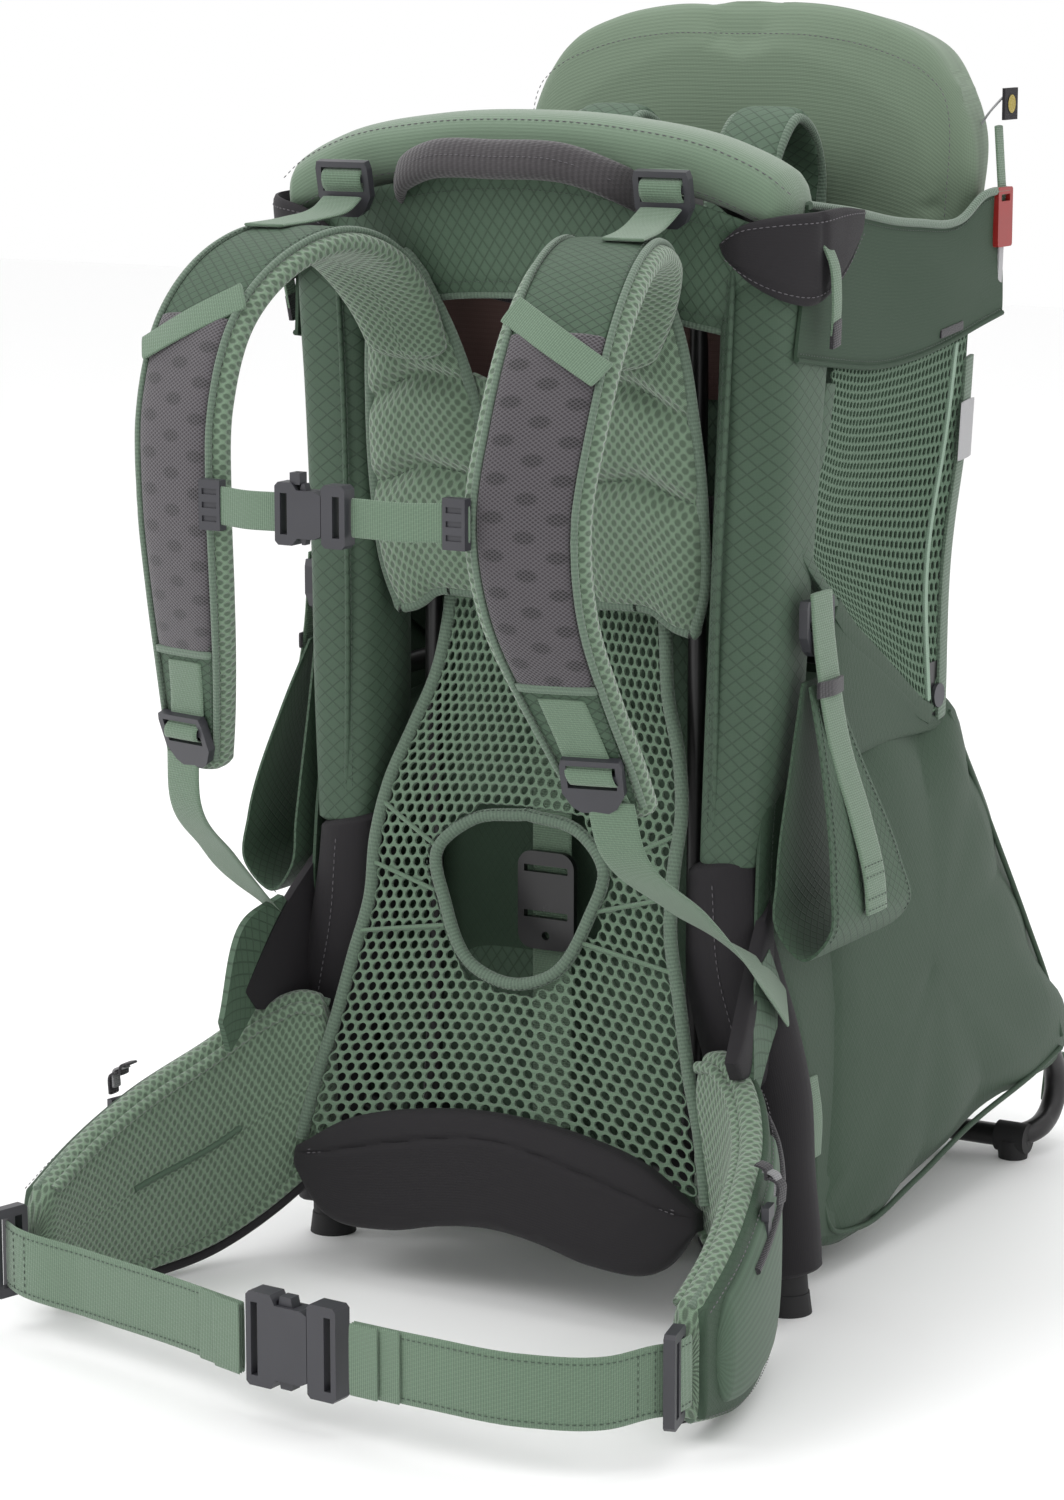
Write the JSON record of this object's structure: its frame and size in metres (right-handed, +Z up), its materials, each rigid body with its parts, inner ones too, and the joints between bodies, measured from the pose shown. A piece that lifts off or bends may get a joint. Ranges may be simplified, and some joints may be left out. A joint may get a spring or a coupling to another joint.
{
  "type": "child carrier backpack",
  "caption": "Framed child carrier backpack with a folding rear stand, padded cockpit, suspended mesh back, shoulder harness, hip belt, stirrups and lower storage bag.",
  "frame": {"origin": "on the floor, under the middle of the pack's footprint", "axes": "+Z up, +Y away from the wearer's back, +X to the wearer's left"},
  "size_m": [0.422, 0.6831, 0.7082],
  "materials": {
    "frame_tube": "matt black powder coat",
    "steel_pin": "brushed",
    "rubber_foot": "matt rubber",
    "buckle_plastic": "fine satin acetal",
    "hinge_plastic": "satin nylon",
    "clip_red": "satin red acetal",
    "fabric_light": "ribbed padded fabric",
    "fabric_mid": "ripstop weave",
    "fabric_dark": "dark ripstop weave",
    "fabric_charcoal": "stretch woven",
    "mesh_light": "open spacer mesh",
    "webbing": "polyester webbing"
  },
  "bodies": {
    "frame": {"back_board": "fabric_mid", "back_mesh": "mesh_light", "back_rest": "fabric_light", "backrest_stay": "steel_pin", "child_harness": "fabric_dark", "columns": "fabric_mid", "front_feet": "rubber_foot", "front_panel": "fabric_dark", "harness_rails": "frame_tube", "hinge_pins": "steel_pin", "hip_female": "buckle_plastic", "hip_male": "buckle_plastic", "hip_webbing_left": "webbing", "hip_webbing_right": "webbing", "hip_wing_left": "mesh_light", "hip_wing_right": "mesh_light", "leg_sleeves": "fabric_charcoal", "lifter_locks": "buckle_plastic", "lifter_webbings": "webbing", "lower_webbings": "webbing", "lumbar_bar": "frame_tube", "lumbar_pad": "fabric_charcoal", "main_frame": "frame_tube", "rail_clamps": "hinge_plastic", "rim_pad": "fabric_light", "seat_hoop": "frame_tube", "side_clips": "clip_red", "side_wall_left": "fabric_mid", "side_wall_right": "fabric_mid", "stand_brackets": "hinge_plastic", "storage_bag": "fabric_dark", "sun_tag": "fabric_charcoal", "torso_buckle": "hinge_plastic", "torso_webbing": "webbing", "triglides": "buckle_plastic"},
    "stand": {"rear_stand": "frame_tube", "stand_knuckles": "hinge_plastic", "rear_feet": "rubber_foot"},
    "harness": {"yoke": "mesh_light", "shoulder_strap_left": "fabric_mid", "shoulder_strap_right": "fabric_mid", "strap_locks": "buckle_plastic"},
    "sternum": {"sternum_sliders": "buckle_plastic", "sternum_webbings": "webbing", "sternum_female": "buckle_plastic", "sternum_male": "buckle_plastic"},
    "sternum_prong_upper": {"sternum_prong_upper": "buckle_plastic"},
    "sternum_prong_lower": {"sternum_prong_lower": "buckle_plastic"},
    "hip_prong_upper": {"hip_prong_upper": "buckle_plastic"},
    "hip_prong_lower": {"hip_prong_lower": "buckle_plastic"},
    "handle": {"grab_handle": "fabric_charcoal"},
    "seat": {"child_seat": "fabric_light"},
    "stirrup_left": {"stirrup_left": "fabric_mid", "stirrup_lock_left": "buckle_plastic"},
    "stirrup_right": {"stirrup_right": "fabric_mid", "stirrup_lock_right": "buckle_plastic"},
    "zip_pull_left": {"zip_pull_left": "buckle_plastic"},
    "zip_pull_right": {"zip_pull_right": "buckle_plastic"}
  },
  "joints": [
    {"name": "stand_fold", "type": "hinge", "parent": "frame", "child": "stand", "pos_m": [0, 0.139, 0.318], "axis": [1, 0, 0], "range_deg": [-52, 0], "deforming": ["storage_bag"]},
    {"name": "torso_length", "type": "slide", "parent": "frame", "child": "harness", "axis": [0, 0.167, 0.986], "range_m": [-0.06, 0], "deforming": ["lifter_webbings", "lower_webbings"]},
    {"name": "sternum_height", "type": "slide", "parent": "harness", "child": "sternum", "axis": [0, 0, 1], "range_m": [-0.02, 0.02]},
    {"name": "sternum_release_upper", "type": "hinge", "parent": "sternum", "child": "sternum_prong_upper", "pos_m": [0, -0.273, 0.46825], "axis": [0, -1, 0], "range_deg": [0, 5], "stiffness_Nm_per_rad": 0.05},
    {"name": "sternum_release_lower", "type": "hinge", "parent": "sternum", "child": "sternum_prong_lower", "pos_m": [0, -0.273, 0.45175], "axis": [0, -1, 0], "range_deg": [-5, 0], "stiffness_Nm_per_rad": 0.05},
    {"name": "hip_release_upper", "type": "hinge", "parent": "frame", "child": "hip_prong_upper", "pos_m": [0.027, -0.333, 0.05991], "axis": [-0.0698, -0.9976, 0], "range_deg": [0, 5], "stiffness_Nm_per_rad": 0.1},
    {"name": "hip_release_lower", "type": "hinge", "parent": "frame", "child": "hip_prong_lower", "pos_m": [0.027, -0.333, 0.03009], "axis": [-0.0698, -0.9976, 0], "range_deg": [-5, 0], "stiffness_Nm_per_rad": 0.1},
    {"name": "handle_swing", "type": "hinge", "parent": "frame", "child": "handle", "pos_m": [0, -0.101, 0.613], "axis": [1, 0, 0], "range_deg": [0, 50]},
    {"name": "seat_height", "type": "slide", "parent": "frame", "child": "seat", "axis": [0, 0, 1], "range_m": [0, 0.05]},
    {"name": "stirrup_swing_left", "type": "hinge", "parent": "frame", "child": "stirrup_left", "pos_m": [0.157, -0.032, 0.4], "axis": [1, 0, 0], "range_deg": [-20, 30]},
    {"name": "stirrup_swing_right", "type": "hinge", "parent": "frame", "child": "stirrup_right", "pos_m": [-0.157, -0.032, 0.4], "axis": [1, 0, 0], "range_deg": [-20, 30]},
    {"name": "zip_left", "type": "slide", "parent": "frame", "child": "zip_pull_left", "axis": [-0.2, 0.9798, 0], "range_m": [0, 0.04]},
    {"name": "zip_right", "type": "slide", "parent": "frame", "child": "zip_pull_right", "axis": [0.2, 0.9798, 0], "range_m": [0, 0.04]}
  ],
  "couplings": [
    {"joint": "sternum_release_lower", "follows": "sternum_release_upper", "ratio": -1},
    {"joint": "hip_release_lower", "follows": "hip_release_upper", "ratio": -1}
  ]
}
